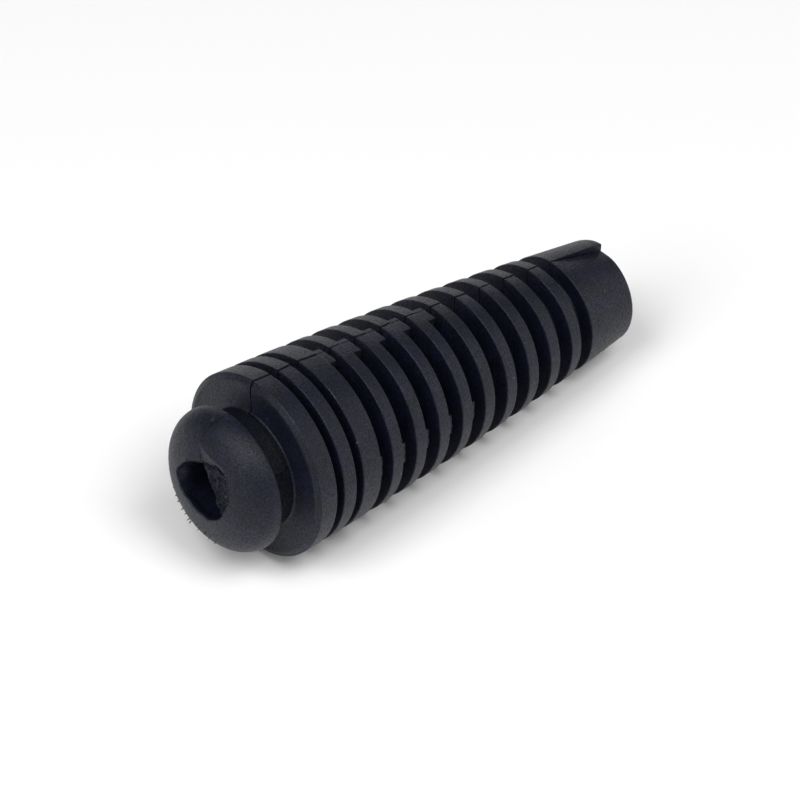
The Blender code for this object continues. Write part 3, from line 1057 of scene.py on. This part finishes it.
def make_core(context):
    """The thin wall behind each groove, from the middle of one ring to the middle of the next."""
    rows = lands()
    for number, (ahead, behind) in enumerate(zip(RING_NAMES, RING_NAMES[1:]), start=1):
        front = sum(rows[ahead][:2]) / 2.0
        back = sum(rows[behind][:2]) / 2.0
        if behind == "tail_collar":
            back = rows[behind][1] - COLLAR_BORE
        outline = core_outline(front + CORE_SEAM, back, core_radius(front), core_radius(back))
        # The core walls take the darker rubber, whose colour paints the shade deep in the grooves.
        mesh = turned(f"core_wall_{number:02d}", outline, shaded_groove_skin(), steps=CORE_TURN_STEPS)
        obj = piece(f"core_wall_{number:02d}", mesh, shaded_groove_skin())
        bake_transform(obj)
    front = flange_front()
    back = sum(rows["flange"][:2]) / 2.0
    outline = core_outline(front + NECK_OVERLAP, back, core_radius(front), core_radius(back))
    mesh = turned("core_wall_flange", outline, shaded_groove_skin(), steps=CORE_TURN_STEPS)
    obj = piece("core_wall_flange", mesh, shaded_groove_skin())
    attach(obj, "flange")


# A tab's width, the share of its groove that it fills and how far it lies below the rib
TAB_SPAN = math.radians(16.0)
TAB_FILL = 0.52
TAB_RECESS = 0.65 * MM
# How far a tab sinks into the core and the rib, how its rear falls away, and its finest cut
TAB_ROOT = 0.3 * MM
TAB_OVERLAP = 0.2 * MM
TAB_FALL = 0.1 * MM
TAB_ROUNDING = 0.16 * MM
TAB_CUT = 0.22 * MM
TOP_TAB_SHIFT = math.radians(4.0)
TOP_TAB_FILL = 0.60
TOP_TAB_RECESS = 0.03 * MM


def tab_outline(name, recess, fill):
    """Outline of a tab behind a rib, cut finely so that its rear edge can be ragged."""
    end, groove = lands()[name][1:]
    outer = envelope_radius(end) - recess
    inner = core_radius(end) - TAB_ROOT
    rear = end + fill * groove
    base = rounded([(inner, end - TAB_OVERLAP, 0.0), (outer, end - TAB_OVERLAP, 0.0),
                    (outer - TAB_FALL, rear, TAB_ROUNDING), (inner, rear, 0.0)])
    outline = []
    for here, after in zip(base, base[1:] + base[:1]):
        cuts = max(1, int((after - here).length / TAB_CUT))
        outline += [here.lerp(after, cut / cuts) for cut in range(cuts)]
    return outline, rear


def make_tabs(context):
    """Spacer tabs on the rear face of ribs 3 to 7 at quarter turns; the slit divides the top one,
    which is flush with the rib and lies a little to the near side."""
    half = TAB_SPAN / 2.0
    for index, name in enumerate(TABBED_RIBS):
        end = lands()[name][1]
        outline, rear = tab_outline(name, TAB_RECESS, TAB_FILL)
        rows = [turned("side_tabs", outline, skin(), steps=24, start=math.pi / 2 - half,
                       sweep=TAB_SPAN, copies=3, copy_spacing=math.pi / 2,
                       ragged_depth=0.40 * MM, ragged_from=end + 0.3 * MM, ragged_to=rear,
                       seed=index * 0.37)]
        outline, rear = tab_outline(name, TOP_TAB_RECESS, TOP_TAB_FILL)
        near = half + TOP_TAB_SHIFT - SLIT_HALF_ANGLE
        far = half - TOP_TAB_SHIFT - SLIT_HALF_ANGLE
        for begin, sweep in ((-SLIT_HALF_ANGLE - far, far), (SLIT_HALF_ANGLE, near)):
            rows.append(turned("top_tab", outline, skin(), steps=14, start=begin, sweep=sweep,
                               ragged_depth=0.30 * MM, ragged_from=end + 0.5 * MM,
                               ragged_to=rear, seed=index * 0.61))
        obj = piece(f"spacer_tabs_{name}", joined(rows), skin())
        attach(obj, name)


# The web's depth below the dome, the way its open edge faces, how far it sinks into the bore's
# wall and how far its edge lies beyond the axis
WEB_DEPTH = 1.25 * MM
WEB_TURN = math.radians(64.0)
WEB_OVERLAP = 0.08 * MM
WEB_EDGE = 0.45 * MM
WEB_GRID = (44, 18)
# Depth and cells per metre of its ragged edge and of its torn surface, its hollow, and its
# thickness in mm at the edge and how much that grows towards the wall
WEB_JAG, WEB_JAG_SCALE = 0.40 * MM, 900.0
WEB_TEAR, WEB_TEAR_SCALE = 0.16 * MM, 1500.0
WEB_HOLLOW = 0.35 * MM
WEB_THIN, WEB_THICKENING = 0.10, 0.35


def make_web(context):
    """The torn moulding web that half closes the mouth of the bore, with a ragged pale edge."""
    bore = sizes().bore_radius
    depth = dome_station(bore) + WEB_DEPTH
    wide = bore + WEB_OVERLAP
    across, deep = WEB_GRID
    bm = bmesh.new()
    top, under = [], []
    for i in range(across + 1):
        t = -1.0 + 2.0 * i / across
        v = t * wide * 0.985
        limit = math.sqrt(max(0.0, (wide * 1.02) ** 2 - v * v))
        jag = WEB_JAG * noise.fractal(Vector((v * WEB_JAG_SCALE, 3.7, 0.0)), 1.0, 2.0, 3)
        edge = min(limit - 0.05 * MM, WEB_EDGE + jag)
        upper, lower = [], []
        for j in range(deep + 1):
            share = j / deep
            u = edge + (limit - edge) * j / deep
            x = u * math.cos(WEB_TURN) - v * math.sin(WEB_TURN)
            y = u * math.sin(WEB_TURN) + v * math.cos(WEB_TURN)
            spot = Vector((x * WEB_TEAR_SCALE, y * WEB_TEAR_SCALE, 1.0))
            rough = WEB_TEAR * noise.fractal(spot, 1.0, 2.0, 4)
            dip = WEB_HOLLOW * (share - 0.5) ** 2
            z = depth + rough + dip
            thick = (WEB_THIN + WEB_THICKENING * share) * MM
            upper.append(bm.verts.new((x, y, z)))
            lower.append(bm.verts.new((x, y, z + thick)))
        top.append(upper)
        under.append(lower)
    for i in range(across):
        for j in range(deep):
            bm.faces.new((top[i][j], top[i + 1][j], top[i + 1][j + 1], top[i][j + 1]))
            bm.faces.new((under[i][j], under[i][j + 1], under[i + 1][j + 1], under[i + 1][j]))
    rim = ([(top[i][0], under[i][0]) for i in range(across + 1)]
           + [(top[across][j], under[across][j]) for j in range(1, deep + 1)]
           + [(top[i][deep], under[i][deep]) for i in range(across - 1, -1, -1)]
           + [(top[0][j], under[0][j]) for j in range(deep - 1, 0, -1)])
    for (a, b), (c, d) in zip(rim, rim[1:] + rim[:1]):
        bm.faces.new((a, b, d, c))
    mesh = bpy.data.meshes.new("bore_web")
    bm.to_mesh(mesh)
    bm.free()
    obj = piece("torn_bore_web", mend(mesh, 60.0), torn_skin())
    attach(obj, "head")


# Ring, first and last angle, thickness and how far each feather stands out of its front edge,
# in degrees and mm
FEATHERS = (("flange", -40.0, 150.0, 0.045, -0.02), ("rib_02", 20.0, 45.0, 0.070, 0.02),
            ("rib_03", 28.0, 60.0, 0.070, 0.02), ("rib_04", 44.0, 66.0, 0.050, -0.01),
            ("rib_05", 50.0, 72.0, 0.045, -0.01), ("rib_06", 44.0, 66.0, 0.045, -0.01))


# The line of nubs round the dome: its first angle, its sweep in degrees and its points
NUBS_FROM, NUBS_SWEEP, NUBS_STEPS = 168.0, 76.0, 60


def make_flash(context):
    """Small nubs round the dome and thin feathers on the front edges of the first rings."""
    # The flash's paler rubber also paints the highlight that these edges and burrs catch.
    line = []
    for step in range(NUBS_STEPS):
        turn = NUBS_FROM + NUBS_SWEEP * step / (NUBS_STEPS - 1.0)
        radius = (5.45 + 0.85 * smooth((185.0 - turn) / 15.0)
                  + 1.35 * smooth((turn - 195.0) / 25.0)) * MM
        angle = math.radians(turn)
        line.append((radius * math.cos(angle), radius * math.sin(angle),
                     dome_station(radius) + 0.02 * MM))
    mesh = grown_mesh("dome_nubs", line, False, shared_tree("nubs", nub_tree), {
        "Spacing": 0.80 * MM, "Nub Radius": 0.12 * MM, "Nub Height": 0.34 * MM, "Lean": 1.2,
        "Jitter": 0.16 * MM, "Seed": 5, "Material": flash_highlight_skin()})
    obj = piece("dome_flash_nubs", mend(mesh, 60.0), flash_highlight_skin())
    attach(obj, "head")
    for index, (name, first, last, thick, out) in enumerate(FEATHERS):
        start = lands()[name][0]
        station = start + (sizes().chamfer_depth if name == "flange" else 0.03 * MM)
        radius = envelope_radius(station) + out * MM
        steps = 3 * int(last - first)
        line = []
        for step in range(steps):
            angle = math.radians(first + (last - first) * step / (steps - 1))
            line.append((radius * math.cos(angle), radius * math.sin(angle), station))
        mesh = grown_mesh(f"{name}_feather", line, False, shared_tree("feather", feather_tree), {
            "Thickness": thick * MM, "Coverage": 0.42, "Seed": float(index),
            "Material": flash_highlight_skin()})
        obj = piece(f"{name}_flash_feather", mend(mesh, 60.0), flash_highlight_skin())
        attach(obj, body_of_ring(name))


# ---------------------------------------------------------------- stage

# Angles in degrees; the lens and the sensor in mm
CAMERA_AZIMUTH = -42.53
CAMERA_ELEVATION = 40.3
CAMERA_DISTANCE = 0.5076
CAMERA_LENS = 202.5
CAMERA_SENSOR = 36.0
# The point the camera looks at: its station on the axis, then its shift to the right and up
AIM_STATION = 28.14 * MM
AIM_RIGHT = 1.342 * MM
AIM_UP = -0.372 * MM


def direction(turn, height):
    """Unit vector to a place round the sleeve, from its turn and height in degrees."""
    a, e = math.radians(turn), math.radians(height)
    return Vector((math.sin(a) * math.cos(e), -math.cos(a) * math.cos(e), math.sin(e)))


def camera_axes():
    """Right, up and back of the camera, as unit vectors."""
    a = math.radians(CAMERA_AZIMUTH)
    back = direction(CAMERA_AZIMUTH, CAMERA_ELEVATION)
    right = Vector((math.cos(a), math.sin(a), 0.0))
    return right, back.cross(right), back


SOFTBOX_DISTANCE = 0.80
# Name, turn from the camera towards the right, height, width and tallness of each soft light
SOFTBOXES = (("right_key", 45.0, 58.0, 0.36, 0.36), ("left_key", -45.0, 58.0, 0.36, 0.36),
             ("front", 0.0, 60.0, 0.30, 0.36), ("left_fill", -45.0, 32.0, 0.50, 0.34),
             ("back_strip", 180.0, 11.0, 0.62, 0.27), ("right_strip", 100.0, 14.0, 0.90, 0.36))


def area_light(name, place, target, wide, tall, watts):
    data = bpy.data.lights.new(name, "AREA")
    data.shape = "RECTANGLE"
    data.size, data.size_y = wide, tall
    data.energy = watts
    obj = bpy.data.objects.new(name, data)
    bpy.context.scene.collection.objects.link(obj)
    obj.location = place
    obj.rotation_euler = (place - target).to_track_quat("Z", "Y").to_euler()


def make_stage(context):
    scene = context.scene
    look = scene.stage_look
    low, high = CAD_BOUNDS
    centre = (low + high) / 2.0
    bm = bmesh.new()
    bmesh.ops.create_grid(bm, x_segments=8, y_segments=8, size=3.0,
                          matrix=Matrix.Translation((centre.x, centre.y, low.z)))
    mesh = bpy.data.meshes.new("floor")
    bm.to_mesh(mesh)
    bm.free()
    floor = bpy.data.objects.new("floor", mesh)
    scene.collection.objects.link(floor)
    paper = bpy.data.materials.new("matt_white_paper")
    paper.use_nodes = True
    tree = paper.node_tree
    tree.nodes.clear()
    where = add(tree, "ShaderNodeTexCoord").outputs["Object"]
    fibre = add(tree, "ShaderNodeTexNoise", {"Vector": where, "Scale": 1500.0, "Detail": 2.0})
    bump = add(tree, "ShaderNodeBump", {"Height": fibre.outputs["Fac"], "Strength": 0.2,
                                        "Distance": 0.00005})
    shader = add(tree, "ShaderNodeBsdfPrincipled", {
        "Base Color": tuple(look.floor) + (1.0,), "Roughness": 0.9,
        "Normal": bump.outputs["Normal"]})
    add(tree, "ShaderNodeOutputMaterial", {"Surface": shader.outputs["BSDF"]})
    mesh.materials.append(paper)

    world = bpy.data.worlds.new("white_room")
    world.use_nodes = True
    world.node_tree.nodes.clear()
    glow = add(world.node_tree, "ShaderNodeBackground", {"Color": (1.0, 1.0, 1.0, 1.0),
                                                         "Strength": look.room})
    add(world.node_tree, "ShaderNodeOutputWorld", {"Surface": glow.outputs["Background"]})
    scene.world = world

    right, up, back = camera_axes()
    for label, turn, height, wide, tall in SOFTBOXES:
        way = direction(CAMERA_AZIMUTH + turn, height)
        area_light(f"{label}_softbox", centre + way * SOFTBOX_DISTANCE, centre, wide, tall,
                   getattr(look, label))

    data = bpy.data.cameras.new("camera")
    data.lens = CAMERA_LENS
    data.sensor_width = CAMERA_SENSOR
    data.clip_start, data.clip_end = 0.01, 50.0
    camera = bpy.data.objects.new("camera", data)
    scene.collection.objects.link(camera)
    aim = on_sleeve(0.0, 0.0, AIM_STATION) + right * AIM_RIGHT + up * AIM_UP
    camera.matrix_world = Matrix.Translation(aim + back * CAMERA_DISTANCE) @ Matrix(
        (right, up, back)).transposed().to_4x4()
    scene.camera = camera
    scene.view_settings.view_transform = "Standard"


# ---------------------------------------------------------------- operators and panel

class SLEEVE_OT_head(Operator):
    """Turn the domed snap head with its lead-in notch"""
    bl_idname = "sleeve.head"
    bl_label = "Snap Head"

    def execute(self, context):
        make_head(context)
        return {"FINISHED"}


class SLEEVE_OT_neck(Operator):
    """Turn the neck and its two keys"""
    bl_idname = "sleeve.neck"
    bl_label = "Neck and Keys"

    def execute(self, context):
        make_neck(context)
        return {"FINISHED"}


class SLEEVE_OT_rings(Operator):
    """Turn the flange and the eleven ribs"""
    bl_idname = "sleeve.rings"
    bl_label = "Flange and Ribs"

    def execute(self, context):
        make_rings(context)
        return {"FINISHED"}


class SLEEVE_OT_collar(Operator):
    """Turn the tail collar with its lifted slit lip"""
    bl_idname = "sleeve.collar"
    bl_label = "Tail Collar"

    def execute(self, context):
        make_collar(context)
        return {"FINISHED"}


class SLEEVE_OT_core(Operator):
    """Turn the thin core walls between the rings"""
    bl_idname = "sleeve.core"
    bl_label = "Core Walls"

    def execute(self, context):
        make_core(context)
        return {"FINISHED"}


class SLEEVE_OT_tabs(Operator):
    """Add the spacer tabs behind ribs 3 to 7"""
    bl_idname = "sleeve.tabs"
    bl_label = "Spacer Tabs"

    def execute(self, context):
        make_tabs(context)
        return {"FINISHED"}


class SLEEVE_OT_web(Operator):
    """Add the torn web in the mouth of the bore"""
    bl_idname = "sleeve.web"
    bl_label = "Torn Web"

    def execute(self, context):
        make_web(context)
        return {"FINISHED"}


class SLEEVE_OT_flash(Operator):
    """Add the small nubs and feathers of moulding flash"""
    bl_idname = "sleeve.flash"
    bl_label = "Moulding Flash"

    def execute(self, context):
        make_flash(context)
        return {"FINISHED"}


class SLEEVE_OT_stage(Operator):
    """Add the floor, the lights and the camera"""
    bl_idname = "sleeve.stage"
    bl_label = "Stage"

    def execute(self, context):
        make_stage(context)
        return {"FINISHED"}


OPERATORS = (SLEEVE_OT_head, SLEEVE_OT_neck, SLEEVE_OT_rings, SLEEVE_OT_collar, SLEEVE_OT_core,
             SLEEVE_OT_tabs, SLEEVE_OT_web, SLEEVE_OT_flash, SLEEVE_OT_stage)
GROUPS = {"sleeve_sizes": SleeveSizes, "rubber_finish": RubberFinish, "stage_look": StageLook}


class SLEEVE_PT_panel(Panel):
    bl_label = "Vibration Sleeve"
    bl_space_type = "VIEW_3D"
    bl_region_type = "UI"
    bl_category = "Sleeve"

    def draw(self, context):
        for operator in OPERATORS:
            self.layout.operator(operator.bl_idname)
        for name, group in GROUPS.items():
            box = self.layout.box()
            for key in group.__annotations__:
                box.prop(getattr(context.scene, name), key)


CLASSES = tuple(GROUPS.values()) + OPERATORS + (SLEEVE_PT_panel,)


def register():
    for cls in CLASSES:
        bpy.utils.register_class(cls)
    for name, group in GROUPS.items():
        setattr(bpy.types.Scene, name, PointerProperty(type=group))


def unregister():
    for name in GROUPS:
        delattr(bpy.types.Scene, name)
    for cls in reversed(CLASSES):
        bpy.utils.unregister_class(cls)


def main():
    register()
    for operator in OPERATORS:
        family, verb = operator.bl_idname.split(".")
        getattr(getattr(bpy.ops, family), verb)()


if __name__ == "__main__":
    main()
